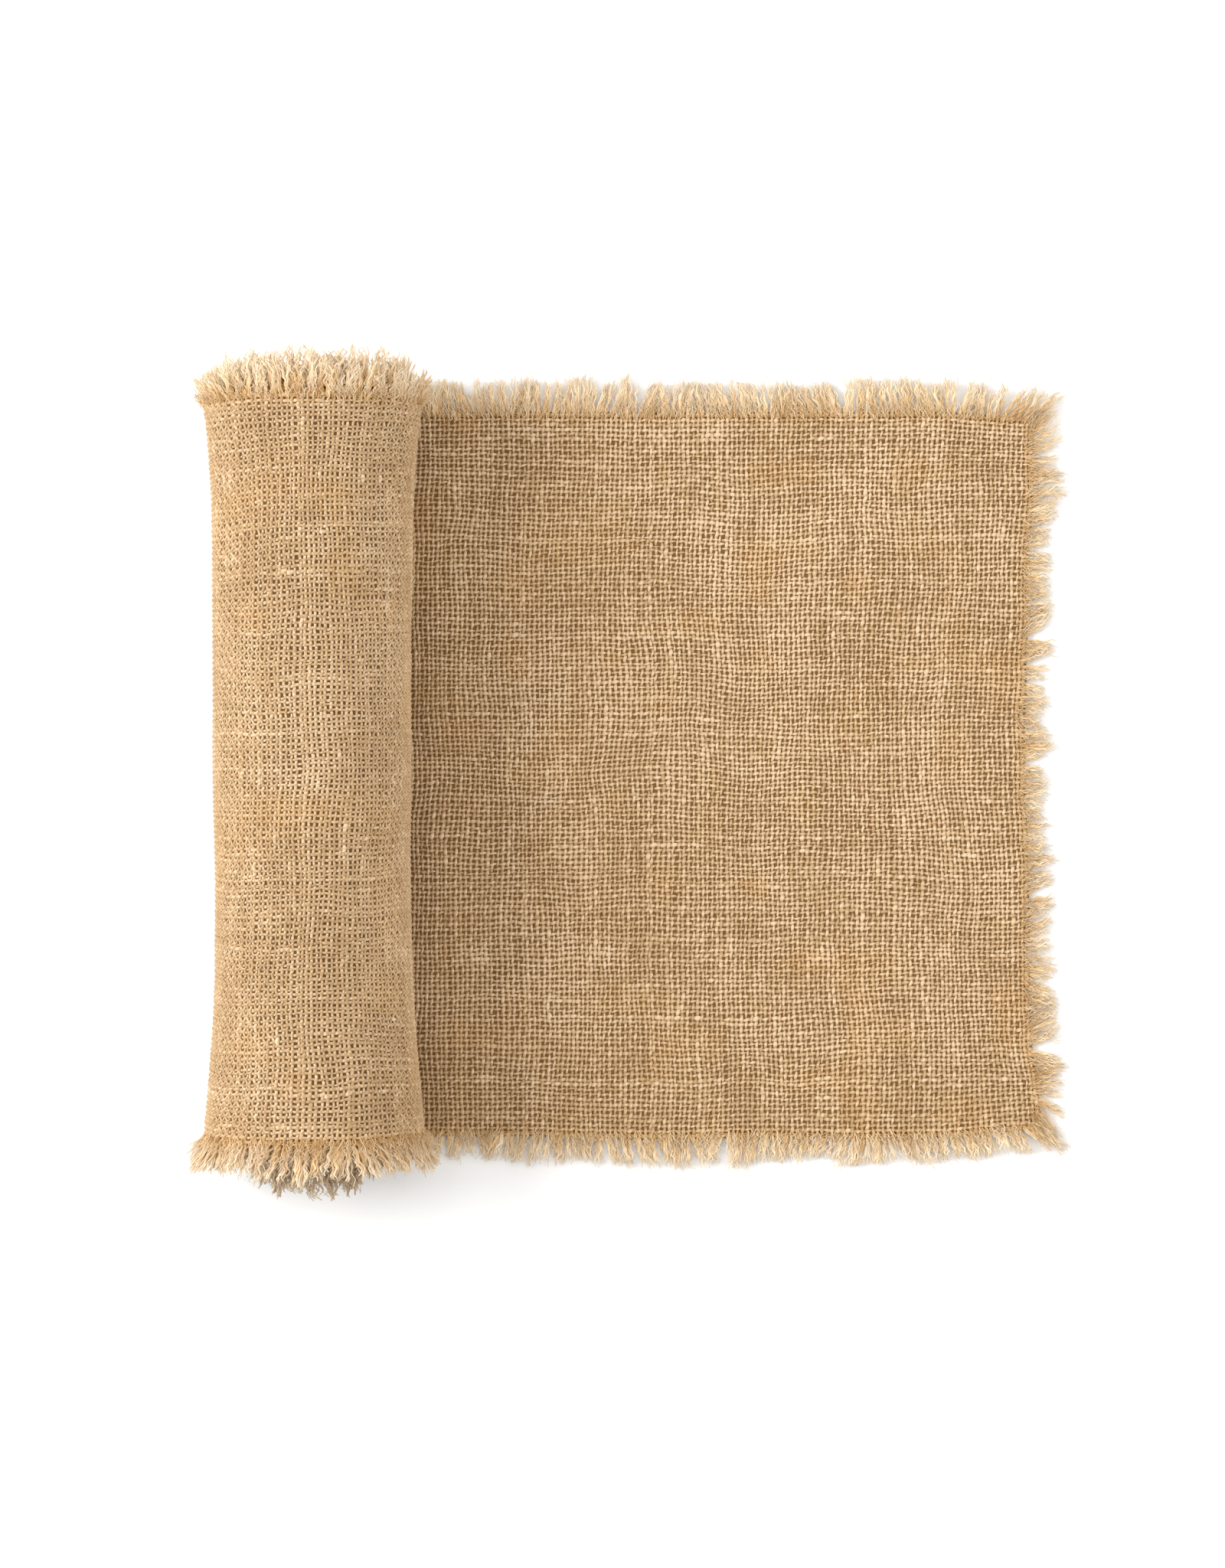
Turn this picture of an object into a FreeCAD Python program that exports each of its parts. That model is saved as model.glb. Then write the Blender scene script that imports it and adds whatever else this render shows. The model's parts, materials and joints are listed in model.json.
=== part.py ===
"""A table runner of coarse, open plain-weave cloth with a frayed fringe on all four edges.

One end is wound into a loose roll that lies on its side, and the rest is laid flat beside it.
The cloth leaves the roll's underside as a tangent, so the laid stretch and the outermost turn
rest on the same table. The free end folds back about a line across the laid stretch.

Row frame, millimetres: X runs along the runner from the roll to the free end, Y runs across it,
and Z points up from the table. The origin is the centre of the whole object's footprint.
"""

import math
import os

import FreeCAD
import Part
import Sketcher

# Driving dimensions, in millimetres unless the name says otherwise.
DIMENSIONS = {
    "overall_width": 356.0,  # across the runner, fringe tip to fringe tip
    "fringe_length": 15.0,  # frayed yarn beyond the last woven yarn
    "stitch_width": 1.2,  # the row of stay stitching that stops the fraying
    "cloth_thickness": 1.6,  # two crossing yarns, slightly flattened
    "laid_length": 319.5,  # from the line under the roll's axis to the last woven yarn
    "free_end_length": 130.0,  # the part that folds back, with its fringe
    "fold_gap": 0.3,  # clearance between the two cloths that meet at the fold line
    "roll_radius": 45.25,  # outside of the outermost turn
    "turn_pitch": 4.0,  # cloth thickness and the air between two turns
}

# How far each turn has crept along the roll's axis, outermost first: the roll is wound unevenly.
TURN_CREEP = (0.0, 3.0, 6.0, 7.0, 3.0, -3.0, -8.0, -12.0)

# The roll's axis is at X = roll_x. These expressions read the sheet and the creep cells.
HALF_WOVEN = "(dims.overall_width / 2 - dims.fringe_length)"
HALF_CLOTH = f"({HALF_WOVEN} - dims.stitch_width)"
FIRST_RADIUS = "(dims.roll_radius - dims.cloth_thickness / 2)"
ROLL_X = "((dims.roll_radius - dims.laid_length - dims.fringe_length) / 2)"
CENTRE_Y = "(-(dims.creep_back + dims.creep_front) / 2)"
FOLD_X = "(dims.laid_length + dims.fringe_length - dims.free_end_length)"
FREE_START = f"({FOLD_X} + dims.fold_gap)"
SIDES = {"back": 1, "front": -1}


def make_sheet(doc):
    """The spreadsheet that every size and place below is bound to."""
    sheet = doc.addObject("Spreadsheet::Sheet", "dims")
    cells = dict(DIMENSIONS)
    cells["creep_back"] = max(TURN_CREEP)
    cells["creep_front"] = min(TURN_CREEP)
    for turn, creep in enumerate(TURN_CREEP, 1):
        cells[f"creep_turn_{turn}"] = creep
    for row, (alias, value) in enumerate(cells.items(), 1):
        sheet.set(f"A{row}", alias)
        sheet.set(f"B{row}", str(value))
        sheet.setAlias(f"B{row}", alias)
    doc.recompute()


def origin_plane(body, role):
    """One of a body's own three origin planes."""
    return next(f for f in body.Origin.OriginFeatures if f.Role == role)


def flat_strip(doc, label, x_low, x_high, y_low, y_high):
    """A flat stretch lying on the table, between expressions measured from the roll's axis."""
    body = doc.addObject("PartDesign::Body", label)
    body.Label = label
    sketch = body.newObject("Sketcher::SketchObject", f"{label}_outline")
    sketch.AttachmentSupport = [(origin_plane(body, "XY_Plane"), "")]
    sketch.MapMode = "FlatFace"
    corners = [(0, 0), (10, 0), (10, 10), (0, 10)]
    for start, end in zip(corners, corners[1:] + corners[:1]):
        line = Part.LineSegment(FreeCAD.Vector(*start, 0), FreeCAD.Vector(*end, 0))
        sketch.addGeometry(line)
    for edge in range(4):
        sketch.addConstraint(Sketcher.Constraint("Coincident", edge, 2, (edge + 1) % 4, 1))
        across = "Vertical" if edge % 2 else "Horizontal"
        sketch.addConstraint(Sketcher.Constraint(across, edge))
    sketch.addConstraint(Sketcher.Constraint("Coincident", 0, 1, -1, 1))
    run = sketch.addConstraint(Sketcher.Constraint("DistanceX", 0, 1, 0, 2, 10.0))
    width = sketch.addConstraint(Sketcher.Constraint("DistanceY", 1, 1, 1, 2, 10.0))
    sketch.setExpression(f"Constraints[{run}]", f"{x_high} - {x_low}")
    sketch.setExpression(f"Constraints[{width}]", f"{y_high} - {y_low}")
    pad = body.newObject("PartDesign::Pad", f"{label}_thickness")
    pad.Profile = sketch
    pad.setExpression("Length", "dims.cloth_thickness")
    body.setExpression("Placement.Base.x", f"{ROLL_X} + {x_low}")
    body.setExpression("Placement.Base.y", f"{CENTRE_Y} + {y_low}")
    return body


def turn_profile(doc, turn):
    """The cross-section of one turn, in the XZ plane, with the roll's axis on the sketch's vertical.

    A turn is a left half ring about the roll's axis, then a right half ring that is half a pitch
    smaller, about a centre half a pitch higher. They meet at the top, and the next turn starts
    one pitch inside, so the turns join end to end into one spiral.
    """
    sketch = doc.addObject("Sketcher::SketchObject", f"turn_{turn}_profile")
    sketch.Placement.Rotation = FreeCAD.Rotation(FreeCAD.Vector(1, 0, 0), 90)
    sketch.setExpression("Placement.Base.x", ROLL_X)
    size = DIMENSIONS
    pitch = size["turn_pitch"]
    middle = size["roll_radius"] - size["cloth_thickness"] / 2 - (turn - 1) * pitch
    half_cloth = size["cloth_thickness"] / 2
    low_centre = FreeCAD.Vector(0, size["roll_radius"], 0)
    high_centre = low_centre + FreeCAD.Vector(0, pitch / 2, 0)
    up = FreeCAD.Vector(0, 0, 1)
    quarter = math.pi / 2

    def half_ring(centre, radius, first):
        circle = Part.Circle(centre, up, radius)
        return sketch.addGeometry(Part.ArcOfCircle(circle, first, first + 2 * quarter))

    left_out = half_ring(low_centre, middle + half_cloth, quarter)
    left_in = half_ring(low_centre, middle - half_cloth, quarter)
    right_out = half_ring(high_centre, middle - pitch / 2 + half_cloth, -quarter)
    right_in = half_ring(high_centre, middle - pitch / 2 - half_cloth, -quarter)
    ends = []
    for outer, inner, point in ((left_out, left_in, 2), (right_out, right_in, 1)):
        start = sketch.getPoint(outer, point)
        ends.append(sketch.addGeometry(Part.LineSegment(start, sketch.getPoint(inner, point))))
    left_end, right_end = ends
    centre, axis = 3, -2
    for first, first_point, second, second_point in (
        (left_out, 2, left_end, 1),
        (left_in, 2, left_end, 2),
        (right_out, 1, right_end, 1),
        (right_in, 1, right_end, 2),
        (left_out, 1, right_out, 2),
        (left_in, 1, right_in, 2),
        (left_out, centre, left_in, centre),
        (right_out, centre, right_in, centre),
    ):
        sketch.addConstraint(
            Sketcher.Constraint("Coincident", first, first_point, second, second_point)
        )
    for item, point in (
        (left_out, centre),
        (right_out, centre),
        (left_out, 1),
        (left_out, 2),
        (left_in, 1),
        (left_in, 2),
        (right_out, 1),
        (right_in, 1),
    ):
        sketch.addConstraint(Sketcher.Constraint("PointOnObject", item, point, axis))
    turn_radius = f"{FIRST_RADIUS} - {turn - 1} * dims.turn_pitch"
    for item, form, now, expression in (
        (left_out, "Radius", middle + half_cloth, f"{turn_radius} + dims.cloth_thickness / 2"),
        (left_in, "Radius", middle - half_cloth, f"{turn_radius} - dims.cloth_thickness / 2"),
    ):
        at = sketch.addConstraint(Sketcher.Constraint(form, item, now))
        sketch.setExpression(f"Constraints[{at}]", expression)
    for item, now, expression in (
        (left_out, low_centre.y, "dims.roll_radius"),
        (right_out, high_centre.y, "dims.roll_radius + dims.turn_pitch / 2"),
    ):
        height = Sketcher.Constraint("DistanceY", -1, 1, item, centre, now)
        at = sketch.addConstraint(height)
        sketch.setExpression(f"Constraints[{at}]", expression)
    return sketch


def turn_band(doc, name, turn, profile, y_low, y_high):
    """A band of one turn, between two expressions measured from the middle of the cloth."""
    middle = f"{CENTRE_Y} + dims.creep_turn_{turn}"
    band = doc.addObject("Part::Extrusion", name)
    band.Label = name
    band.Base = profile
    band.DirMode = "Normal"
    band.Solid = True
    band.setExpression("LengthFwd", f"-({middle} + {y_low})")
    band.setExpression("LengthRev", f"{middle} + {y_high}")
    return band


def ring_part(doc, name, start, length, y_low, y_high):
    """A curved strip that carries on from the innermost turn, from start, for a length of cloth."""
    turns = len(TURN_CREEP)
    radius = f"({FIRST_RADIUS} - {turns} * dims.turn_pitch)"
    degrees = f"{length} / {radius} * 180 / pi"
    rings = []
    for side, sign in (("outside", "+"), ("inside", "-")):
        ring = doc.addObject("Part::Cylinder", f"{name}_{side}")
        ring.setExpression("Radius", f"{radius} {sign} dims.cloth_thickness / 2")
        ring.setExpression("Height", f"{y_high} - {y_low}")
        ring.setExpression("Angle", degrees)
        rings.append(ring)
    # A cylinder's sector starts at its own X axis. Its axis is laid along -Y, and its sector is
    # turned to start straight below the roll's axis and run clockwise, as the cloth does.
    laid = FreeCAD.Rotation(FreeCAD.Vector(1, 0, 0), 90)
    for ring in rings:
        ring.Placement.Rotation = laid
    piece = doc.addObject("Part::Cut", name)
    piece.Label = name
    piece.Base, piece.Tool = rings
    piece.Placement.Rotation = FreeCAD.Rotation(FreeCAD.Vector(0, 1, 0), 90)
    sweep = f"({start} + {length}) / {radius} * 180 / pi"
    piece.setExpression("Placement.Rotation.Angle", f"90 + {sweep}")
    piece.setExpression("Placement.Base.x", ROLL_X)
    piece.setExpression("Placement.Base.y", f"{CENTRE_Y} + dims.creep_turn_{turns} + {y_high}")
    piece.setExpression("Placement.Base.z", "dims.roll_radius")
    return piece


def make_flat_pieces(doc):
    """Cloth, stay stitching and fringe of the laid stretch and of the free end."""
    stretches = {
        "laid": ("0", FOLD_X),
        "free_end": (FREE_START, "dims.laid_length"),
    }
    pieces = []
    for stretch, (x_low, x_high) in stretches.items():
        cloth_end = x_high if stretch == "laid" else f"({x_high} - dims.stitch_width)"
        pieces.append(
            flat_strip(doc, f"{stretch}_cloth", x_low, cloth_end, f"-{HALF_CLOTH}", HALF_CLOTH)
        )
        outer_edge = f"({HALF_WOVEN} + dims.fringe_length)"
        for kind, near, far in (
            ("stitching", HALF_CLOTH, HALF_WOVEN),
            ("fringe", HALF_WOVEN, outer_edge),
        ):
            for side, sign in SIDES.items():
                low, high = (near, far) if sign > 0 else (f"-{far}", f"-{near}")
                label = f"{stretch}_{side}_{kind}"
                pieces.append(flat_strip(doc, label, x_low, x_high, low, high))
    stitch_start = "(dims.laid_length - dims.stitch_width)"
    tip = "(dims.laid_length + dims.fringe_length)"
    for kind, x_low, x_high, half in (
        ("stitching", stitch_start, "dims.laid_length", HALF_CLOTH),
        ("fringe", "dims.laid_length", tip, HALF_WOVEN),
    ):
        label = f"free_end_cross_{kind}"
        pieces.append(flat_strip(doc, label, x_low, x_high, f"-{half}", half))
    return pieces


def make_rolled_pieces(doc):
    """Each turn's cloth, and the stay stitching and fringe along the roll's two ends."""
    pieces = []
    edges = {}
    for turn in range(1, len(TURN_CREEP) + 1):
        profile = turn_profile(doc, turn)
        cloth = turn_band(
            doc, f"roll_turn_{turn}", turn, profile, f"-{HALF_CLOTH}", HALF_CLOTH
        )
        pieces.append(cloth)
        outer_edge = f"({HALF_WOVEN} + dims.fringe_length)"
        for kind, near, far in (
            ("stitching", HALF_CLOTH, HALF_WOVEN),
            ("fringe", HALF_WOVEN, outer_edge),
        ):
            for side, sign in SIDES.items():
                low, high = (near, far) if sign > 0 else (f"-{far}", f"-{near}")
                name = f"turn_{turn}_{side}_{kind}"
                band = turn_band(doc, name, turn, profile, low, high)
                edges.setdefault(f"rolled_{side}_{kind}", []).append(band)
    for label, bands in edges.items():
        group = doc.addObject("Part::Compound", label)
        group.Label = label
        group.Links = bands
        pieces.append(group)
    return pieces


def make_inner_end(doc):
    """The cloth's other end, inside the roll: its cross row of stitching and its fringe."""
    stitching = ring_part(
        doc, "inner_end_cross_stitching", "0", "dims.stitch_width", f"-{HALF_CLOTH}", HALF_CLOTH
    )
    fringe = ring_part(
        doc,
        "inner_end_cross_fringe",
        "dims.stitch_width",
        "dims.fringe_length",
        f"-{HALF_WOVEN}",
        HALF_WOVEN,
    )
    return [stitching, fringe]


def check(doc, pieces):
    """Stops the build if an object failed or a piece has no valid solid."""
    failed = [o.Name for o in doc.Objects if {"Invalid", "Error"} & set(o.State)]
    if failed:
        raise RuntimeError(f"these objects failed: {failed}")
    for piece in pieces:
        shape = piece.Shape
        if shape.isNull() or not shape.isValid() or not shape.Solids:
            raise RuntimeError(f"{piece.Label} has no valid solid")


def rolled_length():
    """Length of cloth in the roll, along the middle of its thickness."""
    first = DIMENSIONS["roll_radius"] - DIMENSIONS["cloth_thickness"] / 2
    halves = range(2 * len(TURN_CREEP))
    return sum(math.pi * (first - half * DIMENSIONS["turn_pitch"] / 2) for half in halves)


def main():
    doc = FreeCAD.newDocument("table_runner")
    make_sheet(doc)
    pieces = make_flat_pieces(doc) + make_rolled_pieces(doc) + make_inner_end(doc)
    doc.recompute()
    check(doc, pieces)
    os.makedirs("parts", exist_ok=True)
    for piece in pieces:
        piece.Shape.exportStep(os.path.join("parts", f"{piece.Label}.step"))
        print(f"{piece.Label}: {piece.Shape.Volume:.0f} mm3")
    length = rolled_length()
    woven = length + DIMENSIONS["laid_length"]
    whole = woven + 2 * DIMENSIONS["fringe_length"]
    print(f"rolled length {length:.1f}, woven length {woven:.1f}, with both fringes {whole:.1f}")


main()
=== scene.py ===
"""Table runner of coarse open-weave cloth: one end in a loose roll, the rest laid flat.

Every yarn that shows is a real tube. A point of the cloth is named by u, its distance along the
cloth from the line under the roll's axis (towards the free end, so the roll has u below 0), w, its
distance across from the middle, and h, its height above the middle of the cloth's thickness.
place(u, w, h) puts it in the row frame, so yarns, fringe, stitching and cloth all bend as one.
"""

import json

import bpy
import numpy as np
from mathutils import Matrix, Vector

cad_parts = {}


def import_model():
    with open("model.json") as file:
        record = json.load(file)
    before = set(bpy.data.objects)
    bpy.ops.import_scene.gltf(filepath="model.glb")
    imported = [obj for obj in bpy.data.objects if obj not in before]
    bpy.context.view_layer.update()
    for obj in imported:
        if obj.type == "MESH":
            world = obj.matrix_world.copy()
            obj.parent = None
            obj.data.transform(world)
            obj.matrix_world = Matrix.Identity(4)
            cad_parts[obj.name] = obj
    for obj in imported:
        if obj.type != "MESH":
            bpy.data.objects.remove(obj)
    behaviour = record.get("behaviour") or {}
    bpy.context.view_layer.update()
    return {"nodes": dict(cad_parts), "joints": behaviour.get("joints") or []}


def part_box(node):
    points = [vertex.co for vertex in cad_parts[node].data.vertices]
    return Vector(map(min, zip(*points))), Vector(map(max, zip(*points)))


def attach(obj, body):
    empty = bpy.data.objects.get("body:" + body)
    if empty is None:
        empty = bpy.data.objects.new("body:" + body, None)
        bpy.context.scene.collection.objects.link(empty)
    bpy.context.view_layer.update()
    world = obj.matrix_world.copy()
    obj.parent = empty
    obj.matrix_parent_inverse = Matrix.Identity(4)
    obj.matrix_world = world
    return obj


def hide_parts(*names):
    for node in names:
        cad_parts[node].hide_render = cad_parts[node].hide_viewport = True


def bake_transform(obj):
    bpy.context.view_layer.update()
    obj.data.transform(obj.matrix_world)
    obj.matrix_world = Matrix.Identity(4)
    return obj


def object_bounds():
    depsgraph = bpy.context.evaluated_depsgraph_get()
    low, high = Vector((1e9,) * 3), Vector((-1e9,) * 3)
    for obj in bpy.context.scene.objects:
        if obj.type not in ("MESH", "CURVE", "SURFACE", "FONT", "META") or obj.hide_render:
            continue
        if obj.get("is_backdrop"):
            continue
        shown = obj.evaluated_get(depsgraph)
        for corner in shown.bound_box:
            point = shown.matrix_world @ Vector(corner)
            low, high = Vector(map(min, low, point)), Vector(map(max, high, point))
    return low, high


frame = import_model()

MM = 0.001

# ---- Sizes from the frame -------------------------------------------------------------------

laid_low, laid_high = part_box("laid_cloth")
turn_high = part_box("roll_turn_1")[1]
second_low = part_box("roll_turn_2")[0]
end_low, end_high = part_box("free_end_cross_fringe")
stitch_low, stitch_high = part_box("free_end_cross_stitching")

TURNS = sum(name.startswith("roll_turn_") for name in frame["nodes"])
THICK = laid_high.z - laid_low.z
ROLL_X = laid_low.x
ROLL_RADIUS = turn_high.z / 2
PITCH = second_low.z
LAID = end_low.x - ROLL_X
FRINGE = end_high.x - end_low.x
HALF = (end_high.y - end_low.y) / 2
MIDDLE_Y = (end_high.y + end_low.y) / 2
STITCH_IN = 1.6 * (stitch_high.x - stitch_low.x)
FOLD_X, _, FOLD_Z = next(j for j in frame["joints"] if j["name"] == "free_end_fold")["pos_m"]

# Half rings of the spiral: their radii and where each starts along the cloth. Two more than the
# cloth needs carry the fringe of its inner end.
HALF_RINGS = 2 * TURNS + 2
RADII = ROLL_RADIUS - THICK / 2 - PITCH / 2 * np.arange(HALF_RINGS)
STARTS = np.concatenate([[0.0], np.cumsum(np.pi * RADII)])
ROLLED = float(STARTS[2 * TURNS])
TURN_BOXES = [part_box(f"roll_turn_{turn}") for turn in range(1, TURNS + 1)]
CREEP = np.array([(low.y + high.y) / 2 - MIDDLE_Y for low, high in TURN_BOXES])
CREEP_AT = (STARTS[0:2 * TURNS:2] + STARTS[1:2 * TURNS:2]) / 2

# Yarns: their spacing, half widths, and half of how far they rise and fall through the weave.
WARP_COUNT = 142
WARP_PITCH = 2 * HALF / WARP_COUNT
WEFT_PITCH = 2.21 * MM
YARN_HALF_WIDTH = 0.73 * MM
YARN_HALF_THICK = 0.66 * MM
CRIMP = 0.54 * MM
SLANT = 0.14 * MM  # how far the twist turns each crest aside
LIFT = 1.20 * MM  # height of the laid cloth's middle above the table
SIDES = 6
# Painted shade: every tube's colour is darker at its sides than along its top, as on a lit round
# yarn.
EDGE_SHADE = 0.20  # how much darker a fibre is at its sides than along its top

# ---- Smooth random fields -------------------------------------------------------------------

# Each field has a seed of its own. A seed's value means nothing, as long as no two are the same.


def noise(seed, x, y=0.0):
    """Smooth value noise from -1 to 1, with about one feature per unit of x and of y."""
    table = np.random.default_rng(seed).uniform(-1, 1, (64, 64))
    x, y = np.broadcast_arrays(np.asarray(x, float), np.asarray(y, float))
    column, row = np.floor(x).astype(int), np.floor(y).astype(int)
    across, along = x - column, y - row
    across, along = across**2 * (3 - 2 * across), along**2 * (3 - 2 * along)
    corner = [table[(column + i) % 64, (row + j) % 64] for i in (0, 1) for j in (0, 1)]
    low = corner[0] * (1 - along) + corner[1] * along
    high = corner[2] * (1 - along) + corner[3] * along
    return low * (1 - across) + high * across


def rise(value, low, high):
    """0 below low, 1 above high, and smooth between them."""
    t = np.clip((value - low) / (high - low), 0, 1)
    return t * t * (3 - 2 * t)


# ---- The cloth's shape ----------------------------------------------------------------------


def drift(u, w):
    """How far the yarns have wandered in the plane of the cloth, as (along, across)."""
    calm = 1 - 0.60 * rise(np.abs(w), HALF - 30 * MM, HALF - 4 * MM)
    along = (
        1.6 * noise(1, u / 0.055, w / 0.045) + 0.9 * noise(2, u / 0.021, w / 0.024)
        + 0.34 * noise(21, u / 0.0085, w / 0.0105))
    across = (
        1.6 * noise(3, u / 0.050, w / 0.060) + 0.9 * noise(4, u / 0.024, w / 0.019)
        + 0.34 * noise(22, u / 0.0105, w / 0.0085))
    return along * MM * calm, across * MM * calm


def laid_edges(u, w):
    """The laid cloth isn't a true rectangle: its sides bow and its free end dips in the middle."""
    share = w / HALF
    near_end = rise(u, LAID - 110 * MM, LAID)
    along = near_end * MM * (-1.6 + 5.2 * share**2)
    belly = rise(u, 20 * MM, 150 * MM) * (1 - 0.45 * rise(u, LAID - 40 * MM, LAID))
    across = np.where(w < 0, share * 1.8 * MM * belly, share * -0.6 * MM * belly)
    corner = rise(u, LAID - 42 * MM, LAID) * rise(np.abs(w), HALF - 42 * MM, HALF)
    along = along + np.where(w < 0, 1.6, -1.2) * MM * corner
    return along, across - 2.6 * MM * np.sign(w) * corner


def ripple(u, w):
    """Height of the soft puckers in the laid cloth, never below the table."""
    wave = 0.5 + 0.5 * noise(5, u / 0.038, w / 0.052)
    fine = 0.5 + 0.5 * noise(6, u / 0.016, w / 0.014)
    edge = rise(np.abs(w), HALF - 22 * MM, HALF)
    return (1.1 * wave + 0.45 * fine + 0.7 * edge * fine) * MM * rise(u, 0.0, 45 * MM)


def flare(w):
    """How much wider than a true cylinder the roll is, as a share of its width, by its ends."""
    front = rise(-w, 80 * MM, HALF + 35 * MM)
    back = rise(w, 110 * MM, HALF + 35 * MM)
    return 0.150 * front + 0.120 * back


def dents(angle, back, w):
    """How far the roll's cloth lies outside its true spiral. Inner turns wobble more."""
    waves = np.cos(2 * angle + 0.6 + 9 * w) + 0.6 * np.cos(3 * angle + 2.0 - 14 * w)
    dent = 0.9 * MM * (
        waves + 0.5 * noise(7, w / 0.045, angle / np.pi)) * rise(back, 0.0, 40 * MM)
    return dent + 1.3 * MM * noise(13, w / 0.055, back / 0.050) * rise(back, STARTS[2], STARTS[3])


def shift(angle, back, w):
    """How far the roll's cloth has crept along the roll's axis.

    Each turn has crept by its own amount, inner turns lean a little, and towards the back the top
    of the roll stands out, most of all in the turns just inside the outermost.
    """
    slip = 0.9 * MM * rise(back, STARTS[1], STARTS[4]) * np.sin(angle)
    crown = 2.2 * MM * rise(w, 60 * MM, HALF) * rise(-np.cos(angle), -1, 1)
    hump = rise(back, STARTS[2], STARTS[4]) * (1 - rise(back, STARTS[7], STARTS[9]))
    crown = crown * (1 + 1.3 * hump * rise(-np.cos(angle), 0.3, 1))
    return np.interp(back, CREEP_AT, CREEP) - slip + crown


def place(u, w, h):
    """The row-frame position of a point of the cloth."""
    u, w, h = np.broadcast_arrays(u, w, h)
    along, across = drift(u, w)
    bow_u, bow_w = laid_edges(u, w)
    u, side = u + along + bow_u, w + across + bow_w
    back = np.clip(-u, 0, STARTS[-1] - 1e-6)
    ring = np.searchsorted(STARTS, back, side="right") - 1
    angle = ring * np.pi + (back - STARTS[ring]) / RADII[ring]
    radius = RADII[ring] - h + dents(angle, back, w)
    centre_z = ROLL_RADIUS + (ring % 2) * PITCH / 2
    x = ROLL_X + np.where(u < 0, -np.sin(angle) * radius * (1 + flare(w)), u)
    roll_z = centre_z - np.cos(angle) * radius * (1 + 0.25 * flare(w)) + LIFT - THICK / 2
    z = np.where(u < 0, np.maximum(roll_z, LIFT + h), LIFT + h + ripple(u, w))
    return np.stack([x, MIDDLE_Y + side + shift(angle, back, w), z], -1)


# ---- Meshes ---------------------------------------------------------------------------------


def new_mesh(name, points, faces, tone, accent):
    """A smooth-shaded object. faces is a list of index arrays, each (count, corners)."""
    mesh = bpy.data.meshes.new(name)
    mesh.vertices.add(len(points))
    mesh.vertices.foreach_set("co", points.astype(np.float32).ravel())
    corners = np.concatenate([f.ravel() for f in faces])
    sizes = np.concatenate([np.full(len(f), f.shape[1]) for f in faces])
    mesh.loops.add(len(corners))
    mesh.loops.foreach_set("vertex_index", corners.astype(np.int32))
    mesh.polygons.add(len(sizes))
    starts = np.concatenate([[0], np.cumsum(sizes)[:-1]])
    mesh.polygons.foreach_set("loop_start", starts.astype(np.int32))
    mesh.polygons.foreach_set("use_smooth", np.ones(len(sizes), bool))
    for label, values in (("tone", tone), ("accent", accent)):
        attribute = mesh.attributes.new(label, "FLOAT", "POINT")
        attribute.data.foreach_set("value", values.astype(np.float32).ravel())
    mesh.update(calc_edges=True)
    mesh.validate()
    piece = bpy.data.objects.new(name, mesh)
    bpy.context.scene.collection.objects.link(piece)
    return piece


def tube_faces(count, rings, sides):
    """Faces of count closed tubes, whose points are numbered by tube, ring and side."""
    index = np.arange(count * rings * sides).reshape(count, rings, sides)
    near, far = index[:, :-1], index[:, 1:]
    walls = np.stack([near, np.roll(near, -1, 2), np.roll(far, -1, 2), far], -1)
    return [walls.reshape(-1, 4), index[:, 0, ::-1], index[:, -1, :]]


def tubes(name, *groups):
    """Closed tubes. A group is points by tube, ring and side, and a tone and accent by ring."""
    points, faces, tones, accents = [], [], [], []
    for spots, tone, accent in groups:
        done = sum(len(part) for part in points)
        faces += [index + done for index in tube_faces(*spots.shape[:3])]
        points.append(spots.reshape(-1, 3))
        # Painted shade on each tube: darker at its sides, lighter along its top.
        round_shade = EDGE_SHADE * (np.abs(around(spots.shape[2])[1]) - 0.6)
        tones.append(np.broadcast_to(tone[..., None] + round_shade, spots.shape[:3]).ravel())
        accents.append(np.broadcast_to(accent[..., None], spots.shape[:3]).ravel())
    return new_mesh(
        name, np.concatenate(points), faces, np.concatenate(tones), np.concatenate(accents))


def around(sides):
    """The cosine and sine of each side's direction: across the tube, and up."""
    turn = (np.arange(sides) + 0.5) * 2 * np.pi / sides
    return np.cos(turn), np.sin(turn)


# ---- Yarns ----------------------------------------------------------------------------------


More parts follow.
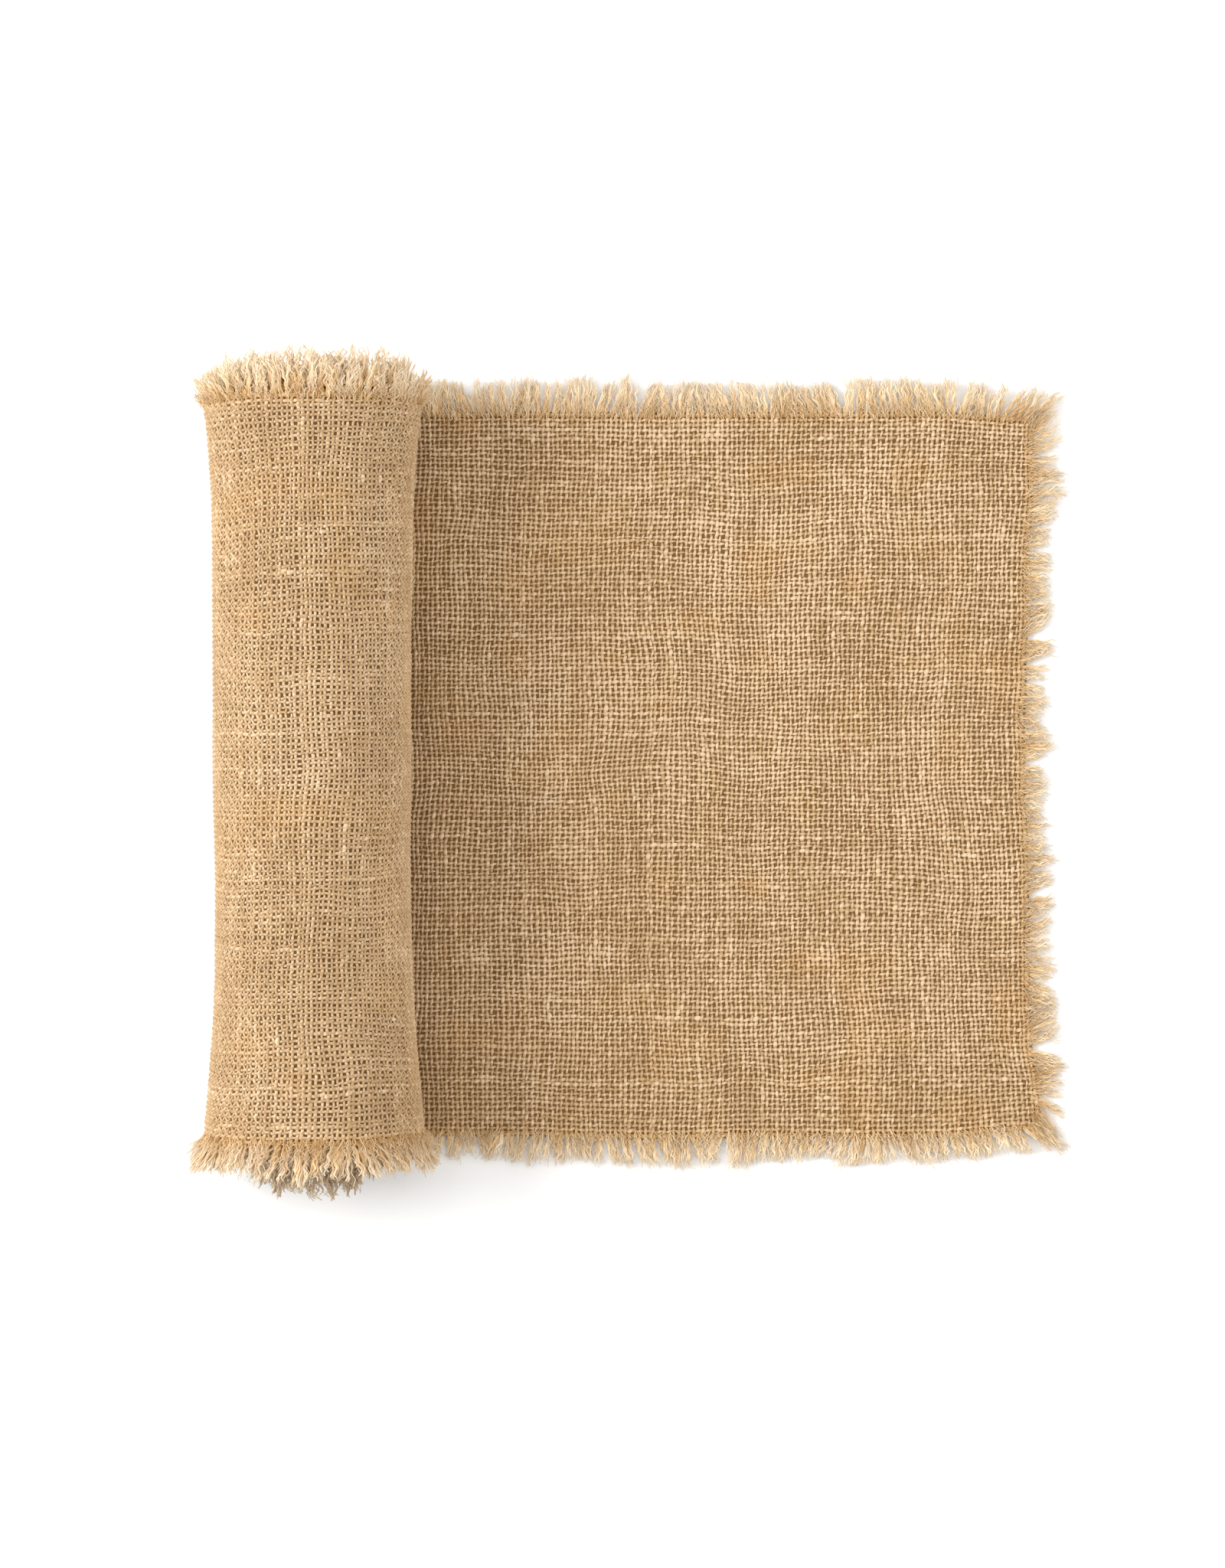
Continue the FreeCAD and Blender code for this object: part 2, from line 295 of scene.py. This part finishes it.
class Yarns:
    """One set of parallel yarns: where each lies, and its own thickness, slubs and shade.

    over is 1 for the set whose even yarns pass over even crossings, and -1 for the other set.
    """

    def __init__(self, seed, over, count, pitch, first):
        draw = np.random.default_rng(seed)
        self.seed, self.over, self.pitch, self.first = seed, over, pitch, first
        self.at = first + pitch * (np.arange(count) + 0.5) + draw.normal(0, 0.13 * MM, count)
        self.size = 1 + draw.normal(0, 0.075, count)
        self.shade = draw.normal(0, 0.028, count)
        self.offset = draw.uniform(0, 500, count)

    def vary(self, number, yarn, along, length):
        """Smooth noise along each yarn, the same for no two yarns."""
        return noise(self.seed + number, along / length + self.offset[yarn], self.offset[yarn])

    def swell(self, yarn, along):
        """How thick the yarn is here, as a share, and how pale the slub there is."""
        fine = 0.20 * self.vary(1, yarn, along, 0.0024)
        slow = 0.19 * self.vary(2, yarn, along, 0.019)
        strings = rise(self.vary(3, yarn, along, 0.045), 0.05, 0.55)
        slub = np.clip(self.vary(4, yarn, along, 0.0050) - 0.30, 0, 1) * strings * 0.85
        fat = np.clip(self.vary(5, yarn, along, 0.022) - 0.60, 0, 1) * 0.9
        return self.size[yarn] + fine + slow + slub + fat, slub + 0.5 * fat

    def wander(self, yarn, along):
        """How far the yarn lies to one side of its straight course."""
        slow = 0.19 * self.vary(6, yarn, along, 0.008)
        return (slow + 0.31 * self.vary(9, yarn, along, 0.0021)) * MM

    def tone(self, yarn, along, slub):
        """How light the yarn is, before the cloth's patches and its painted light."""
        slow = 0.07 * self.vary(7, yarn, along, 0.016)
        speckle = 0.11 * self.vary(8, yarn, along, 0.0026)
        return 0.5 + self.shade[yarn] + slow + speckle + 0.26 * slub


LAID_WEFTS = int(LAID / WEFT_PITCH)
WEFT_COUNT = LAID_WEFTS + int(ROLLED / WEFT_PITCH)
WEFT_START = LAID - WEFT_COUNT * WEFT_PITCH
warps = Yarns(100, 1, WARP_COUNT, WARP_PITCH, -HALF)
wefts = Yarns(200, -1, WEFT_COUNT, WEFT_PITCH, WEFT_START)


def patches_and_roll_light(u, w):
    """Broad patches of lighter and darker cloth.

    The rolled cloth is painted paler than the laid, as painted light, and the laid cloth darkens
    towards its front edge.
    """
    patches = 0.05 * noise(8, u / 0.035, w / 0.045) + 0.05 * noise(9, u / 0.012, w / 0.016)
    front = rise(-w, HALF - 60 * MM, HALF) * rise(u, -20 * MM, 20 * MM)
    # The roll's paler tone is painted light on the roll.
    return patches + 0.134 * rise(-u, 0.0, 60 * MM) - 0.07 * front - 0.068


def from_edge(u, w):
    """Distance in from the nearest woven edge."""
    return np.minimum(np.minimum(HALF - np.abs(w), LAID - u), ROLLED + u)


def gold(u, w):
    """How much deeper and more orange the cloth is: beside its edges, and in faint patches."""
    edge = 0.50 * (1 - rise(from_edge(u, w), 0.5 * MM, 6 * MM))
    return np.clip(edge + 0.45 * np.clip(noise(10, u / 0.022, w / 0.017) - 0.15, 0, 1), 0, 1)


def pinch(u, w):
    """1 along the row of stitching, where the thread pulls the yarns in, and 0 away from it."""
    return np.exp(-((from_edge(u, w) - STITCH_IN) / (0.9 * MM))**2)


def woven(name, runs, crossed, numbers, low, high):
    """The yarns of one set with these numbers, over and under the other set's from low to high."""
    yarn = np.asarray(numbers)[:, None]
    crossing = low + (np.arange(2 * (high - low) + 1)[None] - 1) / 2
    along = np.broadcast_to(
        crossed.first + crossed.pitch * (crossing + 0.5), (len(yarn), crossing.shape[1]))
    parity = runs.over * np.where(yarn % 2 == 0, 1.0, -1.0)
    over = parity * np.cos(np.pi * crossing)
    across = runs.at[yarn] + runs.wander(yarn, along) + SLANT * parity * np.sin(np.pi * crossing)
    size, slub = runs.swell(yarn, along)
    cloth = (along, across) if runs is warps else (across, along)
    flat = pinch(*cloth)
    rolled = rise(-cloth[0], 0.0, 40 * MM)
    size = size + 0.03 * rolled
    # Painted highlight and shade: a yarn is lighter where it crests over a crossing and darker where
    # it dives under, more so on the roll.
    tone = runs.tone(yarn, along, slub) + patches_and_roll_light(*cloth) + (0.205 + 0.08 * rolled) * over - 0.05 * flat
    accent = gold(*cloth) * (1 - 0.8 * np.clip(slub, 0, 1))
    cosine, sine = around(SIDES)
    wide = (YARN_HALF_WIDTH * size * (0.84 + 0.21 * np.abs(over)))[..., None] * cosine
    thick = YARN_HALF_THICK * (size**0.8)[..., None] * sine
    height = (CRIMP * over * (1 - 0.40 * flat))[..., None] + thick
    along, across = along[..., None], across[..., None]
    if runs is warps:
        points = place(along, across + wide, height)
    else:
        points = place(across - wide, along, height)
    points[..., 2] = np.maximum(points[..., 2], 0.0)  # flat where it lies on the table
    return tubes(name, (points, tone, accent))


# ---- Fringe ---------------------------------------------------------------------------------

# For each edge: the cloth's (u, w) at a place along the edge and a distance out from it, which
# way round a tube's sides go, and how much shorter than usual its fringe is, as a share.
EDGES = {
    "back": (lambda at, out: (at, HALF + out), -1, 0.04),
    "front": (lambda at, out: (at, -HALF - out), 1, 0.24),
    "free": (lambda at, out: (LAID + out, at), 1, 0.12),
    "inner": (lambda at, out: (-ROLLED - out, at), -1, 0.04),
}
CORNER = 24 * MM  # how far from a corner its fringe starts to fan out
CORNER_LEAN = 12.5 * MM
TUFT_NARROW, TUFT_WIDE = 3.5 * MM, 12 * MM
BED = 1.6  # how thick the fringe lies, in millimetres
ON_TABLE = 0.1 * MM  # the lowest that any fringe reaches

# Rings and sides of the tubes of a yarn's thick strands and of its fine fibres.
THICK_TUBE = (12, 5)
FINE_TUBE = (8, 3)


def tufts(draw, at):
    """Yarn ends cling together in tufts: for each, its tuft's number and the tuft's middle."""
    low, high = at.min() - 1 * MM, at.max() + 1 * MM
    widths = draw.uniform(TUFT_NARROW, TUFT_WIDE, int((high - low) / TUFT_NARROW) + 2)
    ends = low + np.cumsum(widths)
    number = np.searchsorted(ends, at)
    return number, ends[number] - widths[number] / 2


class YarnEnds:
    """Where and how each frayed yarn end lies, before it opens into strands.

    at is where each yarn leaves the edge.
    inside, given for the roll, is 0 for its outermost turn and 1 well inside it.
    """

    def __init__(self, draw, edge, at, seed, inside):
        count = len(at)
        self.at, self.in_roll = at, inside is not None
        number, middle = tufts(draw, at)
        kinds = number.max() + 1
        lean = draw.normal(0, 1.9 * MM, kinds)[number] + 2.6 * MM * noise(seed + 1, at / 0.022)
        lean = lean + (middle - at) * draw.uniform(-0.06, 0.22, kinds)[number]
        lean = lean + draw.normal(0, 1.2 * MM, count)
        if edge in ("back", "front"):
            corner = rise(at, LAID - CORNER, LAID)
        else:
            corner = np.sign(at) * rise(np.abs(at), HALF - CORNER, HALF)
        self.lean = lean + CORNER_LEAN * corner
        reach = 1.02 + draw.normal(0, 0.07, kinds)[number] + draw.normal(0, 0.06, count)
        if edge in ("back", "front"):
            reach = reach + 0.14 * corner
        self.reach = reach + 0.10 * noise(seed + 2, at / 0.009) - EDGES[edge][2]
        if edge == "free":
            self.reach = self.reach - 0.20 * (1 - (at / HALF)**2)
        self.wave_size = draw.uniform(0.35, 0.80, count)
        self.waves = draw.uniform(1.6, 3.2, count)
        self.phase = draw.uniform(0, 2 * np.pi, count)
        self.bed = draw.uniform(0, 1, count)
        self.room = np.full(count, BED)
        self.splay = np.zeros(count)
        self.bold = (0.32, 0.58)
        self.shade = draw.normal(0, 0.09, count)
        self.pale = draw.normal(0, 0.16, count)
        if self.in_roll:
            self.gather(draw, edge, inside)

    def gather(self, draw, edge, inside):
        """Fits the yarn ends to the roll: bolder, splayed out from its outermost turn, and darker,
        most at the front, as painted shade.
        """
        front = edge == "front"
        flank = np.abs(np.sin(2 * np.pi * self.at / STARTS[2])) * (1 - inside)
        shorter = 0.28 * flank if edge == "back" else 0
        widest = 6.4 if front else 4.0
        self.bold = (0.42, 0.74)
        self.lean = self.lean * 0.7
        self.wave_size = self.wave_size * (1 + 0.9 * inside)
        self.reach = self.reach + (0.14 if front else -0.02) - 0.14 * inside - shorter
        self.room = BED + 2.2 * inside
        outermost = (1 - inside) * draw.uniform(0.35, 1.0, len(self.at)) * widest
        self.splay = 0.6 + inside + outermost
        # Painted shade: the roll's front yarn ends are darker, the back ones a little.
        self.shade = self.shade - (0.20 if front else 0.04)
        self.pale = self.pale + 0.30 * inside


class Strands:
    """Values for the strands that yarn ends open into, shaped by strand and ring."""

    def __init__(self, draw, count, each_has):
        self.draw = draw
        self.each = np.repeat(np.arange(count), each_has)

    def yarn(self, values):
        """Each strand's yarn's value."""
        return values[self.each][:, None]

    def own(self, low, high):
        """A value of each strand's own, from low to high."""
        return self.draw.uniform(low, high, len(self.each))[:, None]

    def spread(self, amount):
        """A value of each strand's own, about 0."""
        return self.draw.normal(0, amount, len(self.each))[:, None]


def strand_group(draw, edge, ends, each_has, is_thick):
    """Points, tone and accent of the thick strands, or of the fine fibres, of all yarn ends."""
    where, turn, _ = EDGES[edge]
    rings, sides = THICK_TUBE if is_thick else FINE_TUBE
    group = Strands(draw, len(ends.at), each_has)
    yarn, own, spread = group.yarn, group.own, group.spread
    t = np.linspace(0, 1, rings)[None]
    curl = np.sin(2 * np.pi * yarn(ends.waves) * t + yarn(ends.phase)) - np.sin(yarn(ends.phase))
    turns, start = own(1.2, 3.0), own(0, 2 * np.pi)
    own_curl = np.sin(2 * np.pi * turns * t + start) - np.sin(start)
    sideways = yarn(ends.lean) * t**1.25 + yarn(ends.wave_size) * MM * curl * t**0.45
    if is_thick:
        sideways = sideways + spread(1.1 * MM) * t**1.6 + 0.46 * MM * own_curl * t
        length = FRINGE * np.clip(yarn(ends.reach) + spread(0.05), 0.55, 1.40)
        radius = own(*ends.bold) * MM * (1 - 0.60 * t**2.2)
        root_in = own(0.6, 2.4) * MM
        loose_height = 0.0
    else:
        # About half of the fine fibres follow their yarn; the rest are short and fly about.
        loose = own(0, 1) < 0.5
        sideways = sideways + spread(1.0) * np.where(loose, 3.2, 1.3) * MM * t**1.2
        sideways = sideways + np.where(loose, 0.7, 0.35) * MM * own_curl * t
        length = FRINGE * np.clip(yarn(ends.reach) + spread(0.08), 0.55, 1.42)
        length = length * np.where(loose, own(0.30, 0.80), 1.0)
        radius = own(0.17, 0.33) * MM * (1 - 0.45 * t**1.8)
        root_in = np.where(loose, own(1.0, 4.6), own(0.6, 2.4)) * MM
        outer_side = -1 if ends.in_roll else 1
        loose_height = np.where(loose, 1.3, 0.0) * MM * t**0.2 * outer_side
    straight = np.sqrt(np.clip(1 - (yarn(ends.lean) / FRINGE)**2, 0.5, 1))
    outwards = length * t * straight - root_in
    bob = np.sin(2 * np.pi * turns * t * 0.7 + 2 * start)
    height = (yarn(ends.bed * ends.room) - 0.5 + 0.5 * bob * t) * MM * t**0.4
    height = height - yarn(ends.splay) * MM * t**1.5 + loose_height
    if not ends.in_roll:
        lowest = -LIFT + radius + 0.05 * MM
        height = np.maximum(height + 0.6 * MM * yarn(ends.bed) * t, lowest)
    cosine, sine = around(sides)
    root = own(-0.6, 0.6) * MM * (1 - 0.3 * t)
    along = (yarn(ends.at) + root + sideways)[..., None] + turn * radius[..., None] * cosine
    u, w = where(along, outwards[..., None])
    points = place(u, w, height[..., None] + radius[..., None] * sine)
    points[..., 2] += np.maximum(ON_TABLE - points[..., 2].min(-1, keepdims=True), 0)
    # Painted light and shade: a strand is lighter where it bobs up and darker where it bobs down.
    tone = 0.52 + yarn(ends.shade) + spread(0.13) + 0.08 * bob - 0.14 * (1 - t)**2
    accent = np.clip(1.15 * t + yarn(ends.pale) + spread(0.18) - 0.15, 0, 1)
    return points, tone, accent


def strands(name, edge, at, seed, thick, fine, inside=None):
    """Frayed yarn ends: each yarn opens into this many thick strands and fine fibres."""
    draw = np.random.default_rng(seed)
    ends = YarnEnds(draw, edge, at, seed, inside)
    thick_group = strand_group(draw, edge, ends, thick, True)
    fine_group = strand_group(draw, edge, ends, fine, False)
    return tubes(name, thick_group, fine_group)


# ---- Materials ------------------------------------------------------------------------------

RAMP_START, RAMP_MIDDLE = 0.40, 0.74  # the tones of the dark and the middle colour
FLECK_SHARE = 0.5  # how much the fine flecks add to the tone
ACCENT_SHARE = 0.65  # how far a full accent turns the colour to the accent colour
BUMP_HEIGHT = 0.15 * MM


def fibre_material(name, dark, middle, light, accent, roughness, sheen, grain):
    """Matte twisted fibre: its colour follows its own tone and accent, with fine flecks and bumps."""
    material = bpy.data.materials.new(name)
    material.use_nodes = True
    nodes, links = material.node_tree.nodes, material.node_tree.links
    shader = nodes["Principled BSDF"]
    where = nodes.new("ShaderNodeTexCoord")
    tone = nodes.new("ShaderNodeAttribute")
    tone.attribute_name = "tone"
    fleck = nodes.new("ShaderNodeTexNoise")
    fleck.inputs["Scale"].default_value = grain
    fleck.inputs["Detail"].default_value = 3.0
    links.new(where.outputs["Object"], fleck.inputs["Vector"])
    mixed = nodes.new("ShaderNodeMath")
    mixed.operation = "MULTIPLY_ADD"
    links.new(fleck.outputs["Fac"], mixed.inputs[0])
    mixed.inputs[1].default_value = FLECK_SHARE
    links.new(tone.outputs["Fac"], mixed.inputs[2])
    ramp = nodes.new("ShaderNodeValToRGB")
    ends = ramp.color_ramp.elements
    ends[0].position, ends[0].color = RAMP_START, (*dark, 1)
    ends[1].position, ends[1].color = 1.0, (*light, 1)
    centre = ramp.color_ramp.elements.new(RAMP_MIDDLE)
    centre.color = (*middle, 1)
    links.new(mixed.outputs[0], ramp.inputs["Fac"])
    amount = nodes.new("ShaderNodeAttribute")
    amount.attribute_name = "accent"
    blend = nodes.new("ShaderNodeMix")
    blend.data_type = "RGBA"
    links.new(amount.outputs["Fac"], blend.inputs["Factor"])
    links.new(ramp.outputs["Color"], blend.inputs["A"])
    tinted = nodes.new("ShaderNodeMix")
    tinted.data_type = "RGBA"
    tinted.inputs["Factor"].default_value = ACCENT_SHARE
    links.new(ramp.outputs["Color"], tinted.inputs["A"])
    tinted.inputs["B"].default_value = (*accent, 1)
    links.new(tinted.outputs["Result"], blend.inputs["B"])
    links.new(blend.outputs["Result"], shader.inputs["Base Color"])
    rough = nodes.new("ShaderNodeMapRange")
    rough.inputs["To Min"].default_value = roughness - 0.08
    rough.inputs["To Max"].default_value = roughness + 0.06
    links.new(fleck.outputs["Fac"], rough.inputs["Value"])
    links.new(rough.outputs["Result"], shader.inputs["Roughness"])
    bump = nodes.new("ShaderNodeBump")
    bump.inputs["Strength"].default_value = 0.55
    bump.inputs["Distance"].default_value = BUMP_HEIGHT
    links.new(fleck.outputs["Fac"], bump.inputs["Height"])
    links.new(bump.outputs["Normal"], shader.inputs["Normal"])
    shader.inputs["Sheen Weight"].default_value = sheen
    shader.inputs["Sheen Roughness"].default_value = 0.6
    shader.inputs["Sheen Tint"].default_value = (1.0, 0.86, 0.64, 1)
    shader.inputs["Specular IOR Level"].default_value = 0.15
    return material


yarn_fibre = fibre_material(
    "woven_yarn", (0.320, 0.187, 0.080), (0.500, 0.325, 0.166), (0.74, 0.565, 0.375),
    accent=(0.58, 0.33, 0.11), roughness=0.88, sheen=0.38, grain=900.0)
fringe_fibre = fibre_material(
    "frayed_yarn", (0.60, 0.355, 0.135), (0.76, 0.515, 0.245), (0.87, 0.67, 0.39),
    accent=(0.91, 0.80, 0.64), roughness=0.86, sheen=0.2, grain=1100.0)
# A darker, greyer copy of the fringe colour: painted shade for fringe inside and under the roll.
shaded_fringe_fibre = fibre_material(
    "inner_frayed_yarn", (0.42, 0.285, 0.145), (0.53, 0.38, 0.22), (0.62, 0.475, 0.30),
    accent=(0.64, 0.52, 0.385), roughness=0.88, sheen=0.15, grain=1100.0)
stitch_fibre = fibre_material(
    "stitching_thread", (0.44, 0.25, 0.09), (0.60, 0.37, 0.16), (0.70, 0.48, 0.25),
    accent=(0.60, 0.36, 0.14), roughness=0.7, sheen=0.05, grain=1500.0)
# A dark brown for the cloth between the yarns: painted shade in the gaps of the weave.
gap_shade_fibre = fibre_material(
    "cloth_depth", (0.11, 0.055, 0.017), (0.19, 0.100, 0.034), (0.30, 0.17, 0.067),
    accent=(0.30, 0.14, 0.04), roughness=0.92, sheen=0.05, grain=500.0)

# ---- The pieces -----------------------------------------------------------------------------


def finish_piece(piece, material, body=None):
    """Gives a piece its material and slot, and lets it ride with its body when one is given."""
    piece.data.materials.append(material)
    if body:
        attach(piece, body)
    else:
        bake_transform(piece)
    return piece


def cloth_sheet():
    """The closed cloth that the yarns are woven into, thin enough to show only between them: fibre
    fill, coloured dark as painted shade in the gaps.
    """
    roll_step, laid_step, columns_across = 3.4 * MM, 5 * MM, 47
    half = 0.10 * MM
    u = np.concatenate([np.arange(-ROLLED, 0, roll_step), np.arange(0, LAID, laid_step), [LAID]])
    w = np.linspace(-HALF, HALF, columns_across)
    grid_u, grid_w = np.meshgrid(u, w, indexing="ij")
    layers = [place(grid_u, grid_w, level) for level in (half, -half)]
    points = np.concatenate([layer.reshape(-1, 3) for layer in layers])
    rows, columns = grid_u.shape
    index = np.arange(rows * columns).reshape(rows, columns)
    top = np.stack([index[:-1, :-1], index[1:, :-1], index[1:, 1:], index[:-1, 1:]], -1)
    top = top.reshape(-1, 4)
    bottom = top[:, ::-1] + rows * columns
    rim = np.concatenate([index[0, :-1], index[:-1, -1], index[-1, :0:-1], index[:0:-1, 0]])
    after = np.roll(rim, -1)
    wall = np.stack([rim, after, after + rows * columns, rim + rows * columns], -1)
    shade = 0.42 + 0.10 * noise(11, grid_u / 0.004, grid_w / 0.004)
    # Painted shade: the gaps are darker still in the roll.
    shade = shade - 0.22 * rise(-grid_u, 0.0, 40 * MM)
    tone = np.tile(shade.ravel(), 2)
    accent = np.tile(gold(grid_u, grid_w).ravel(), 2)
    return new_mesh("cloth_sheet", points, [top, bottom, wall], tone, accent)


# Cross yarns are numbered from the cloth's inner end. From FIRST_SHOWN on they are in the roll's
# outermost turn, and from UNDER_ROLL on they are laid flat.
UNDER_ROLL = WEFT_COUNT - LAID_WEFTS
FIRST_SHOWN = UNDER_ROLL - (int(STARTS[2] / WEFT_PITCH) + 2)

for number, group in enumerate(np.array_split(np.arange(WARP_COUNT), 3), 1):
    laid = woven(f"warp_yarns_laid_{number}", warps, wefts, group, UNDER_ROLL, WEFT_COUNT)
    finish_piece(laid, yarn_fibre)
    rolled = woven(f"warp_yarns_roll_{number}", warps, wefts, group, FIRST_SHOWN, UNDER_ROLL)
    finish_piece(rolled, yarn_fibre, "runner")
for number, group in enumerate(np.array_split(np.arange(UNDER_ROLL, WEFT_COUNT), 3), 1):
    laid = woven(f"weft_yarns_laid_{number}", wefts, warps, group, 0, WARP_COUNT)
    finish_piece(laid, yarn_fibre)
for number, group in enumerate(np.array_split(np.arange(FIRST_SHOWN, UNDER_ROLL), 3), 1):
    rolled = woven(f"weft_yarns_roll_{number}", wefts, warps, group, 0, WARP_COUNT)
    finish_piece(rolled, yarn_fibre, "runner")

# Inside the roll only the cloth beside its edges can be seen.
EDGE_YARNS = 6
inner_wefts = np.arange(FIRST_SHOWN)
for side, low in (("front", 0), ("back", WARP_COUNT - EDGE_YARNS)):
    group = np.arange(low, low + EDGE_YARNS)
    along = woven(f"warp_yarns_inner_{side}", warps, wefts, group, 0, FIRST_SHOWN)
    across = woven(f"weft_yarns_inner_{side}", wefts, warps, inner_wefts, low, low + EDGE_YARNS)
    for piece in (along, across):
        finish_piece(piece, yarn_fibre, "runner")


def add_fringe(name, edge, at, seed, thick, fine, inside=None, body=None, fibre=fringe_fibre):
    """Makes one stretch of fringe under its name, with its material, riding with body when given."""
    piece = strands(name, edge, at, seed, thick, fine, inside)
    finish_piece(piece, fibre, body)


outer = slice(FIRST_SHOWN, UNDER_ROLL)
inner = slice(0, FIRST_SHOWN)
# How far inside the roll each cross yarn is: 0 until just before the end of the outermost turn.
SHELTER_START, SHELTER_LENGTH = STARTS[2] - 50 * MM, 80 * MM
inside = np.clip((-wefts.at - SHELTER_START) / SHELTER_LENGTH, 0, 1)
for side, seed in (("back", 300), ("front", 320)):
    add_fringe(f"{side}_fringe_laid", side, wefts.at[UNDER_ROLL:], seed, 4, 10)
    add_fringe(
        f"{side}_fringe_rolled", side, wefts.at[outer], seed + 10, 3, 9, inside[outer], "runner")
    # The front inner fringe and the inner end's fringe get the painted-shade copy of the fringe
    # colour.
    add_fringe(
        f"{side}_fringe_inner", side, wefts.at[inner], seed + 20, 2, 2, inside[inner], "runner",
        shaded_fringe_fibre if side == "front" else fringe_fibre)
add_fringe("end_fringe_free", "free", warps.at, 340, 3, 10)
add_fringe(
    "end_fringe_inner", "inner", warps.at, 350, 2, 2, np.ones(WARP_COUNT), "runner", shaded_fringe_fibre)


def stitch_row(name, low, high, across, cross):
    """One row of lockstitch on both faces of the cloth: a thread that dips at each needle hole."""
    stitch, radius, rings_each, sides = 2.6 * MM, 0.15 * MM, 4, 5
    steps = int((high - low) / stitch) * rings_each + 1
    run = np.linspace(low, high, steps)[:, None]
    dip = np.abs(np.sin(np.linspace(0, np.pi * (steps - 1) / rings_each, steps)))[:, None]
    cosine, sine = around(sides)
    both = []
    for face in (1, -1):
        height = face * (0.45 + 0.50 * dip) * MM + radius * sine
        if cross:
            both.append(place(across - radius * cosine, run, height))
        else:
            both.append(place(run, across + radius * cosine, height))
    points = np.stack(both)
    # Painted shade: the thread is darker where it dips into each needle hole.
    ring_tone = np.full(points.shape[:2], 0.45) + 0.08 * dip[:, 0]
    return tubes(name, (points, ring_tone, np.full(points.shape[:2], 0.4)))


threads = []
ROW = HALF - STITCH_IN
for side, sign in (("back", 1), ("front", -1)):
    laid = stitch_row(f"{side}_stitching_laid", 0.0, LAID - STITCH_IN, sign * ROW, False)
    threads.append(finish_piece(laid, stitch_fibre))
    rolled = stitch_row(f"{side}_stitching_rolled", -ROLLED, 0.0, sign * ROW, False)
    threads.append(finish_piece(rolled, stitch_fibre, "runner"))
free = stitch_row("end_stitching_free", -ROW, ROW, LAID - STITCH_IN, True)
threads.append(finish_piece(free, stitch_fibre))
inner = stitch_row("end_stitching_inner", -ROW, ROW, -ROLLED + STITCH_IN, True)
threads.append(finish_piece(inner, stitch_fibre, "runner"))

sheet = finish_piece(cloth_sheet(), gap_shade_fibre)
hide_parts("laid_cloth", "free_end_cloth", *[f"roll_turn_{t}" for t in range(1, TURNS + 1)])
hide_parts("laid_back_fringe", "free_end_back_fringe")
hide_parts("laid_front_fringe", "free_end_front_fringe")
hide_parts("rolled_back_fringe")
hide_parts("rolled_front_fringe")
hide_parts("free_end_cross_fringe")
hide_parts("inner_end_cross_fringe")
for thread in threads:
    side, _, part = thread.name.split("_")
    nodes = {
        "laid": (f"laid_{side}_stitching", f"free_end_{side}_stitching"),
        "rolled": (f"rolled_{side}_stitching",),
        "free": ("free_end_cross_stitching",),
        "inner": ("inner_end_cross_stitching",),
    }[part]
    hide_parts(*nodes)

# ---- Table, light and camera ----------------------------------------------------------------


def floor():
    """A wide pale table top, just under the cloth."""
    mesh = bpy.data.meshes.new("table_top")
    size, level = 6.0, -0.3 * MM
    mesh.from_pydata(
        [(x, y, level) for x, y in ((-size, -size), (size, -size), (size, size), (-size, size))],
        [], [(0, 1, 2, 3)])
    top = bpy.data.objects.new("table_top", mesh)
    bpy.context.scene.collection.objects.link(top)
    material = bpy.data.materials.new("pale_table")
    material.use_nodes = True
    shader = material.node_tree.nodes["Principled BSDF"]
    shader.inputs["Base Color"].default_value = (0.93, 0.93, 0.93, 1)
    shader.inputs["Roughness"].default_value = 0.9
    shader.inputs["Specular IOR Level"].default_value = 0.1
    mesh.materials.append(material)
    top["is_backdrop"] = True


def lamp(name, position, size, power):
    """A square soft light that faces the middle of the object."""
    data = bpy.data.lights.new(name, "AREA")
    data.shape = "SQUARE"
    data.size = size
    data.energy = power
    light = bpy.data.objects.new(name, data)
    light.location = position
    aim = Vector((0, 0, 0.02)) - Vector(position)
    light.rotation_euler = aim.to_track_quat("-Z", "Y").to_euler()
    bpy.context.scene.collection.objects.link(light)


def world(strength):
    """Even white light from all round."""
    sky = bpy.data.worlds.new("studio")
    bpy.context.scene.world = sky
    sky.use_nodes = True
    back = sky.node_tree.nodes["Background"]
    back.inputs["Color"].default_value = (1.0, 0.995, 0.985, 1)
    back.inputs["Strength"].default_value = strength


def camera():
    """Straight above, a little to one side of the object's middle."""
    data = bpy.data.cameras.new("overhead")
    height, view_height = 2.45, 0.7078
    data.sensor_width = 36.0
    data.lens = 36.0 * height / view_height
    eye = bpy.data.objects.new("overhead", data)
    eye.location = (-13.1 * MM, -2.5 * MM, height)
    eye.rotation_euler = (0, 0, 0)
    bpy.context.scene.collection.objects.link(eye)
    bpy.context.scene.camera = eye


floor()
lamp("key", (-1.9, 0.40, 1.6), 1.3, 47)
lamp("top", (0.1, 0.5, 2.4), 2.0, 20)
lamp("side", (2.0, 0.1, 0.75), 1.4, 17)
lamp("low", (-2.0, -0.1, 0.45), 1.2, 9)
world(0.60)
camera()
bpy.context.scene.view_settings.view_transform = "Standard"

low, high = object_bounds()
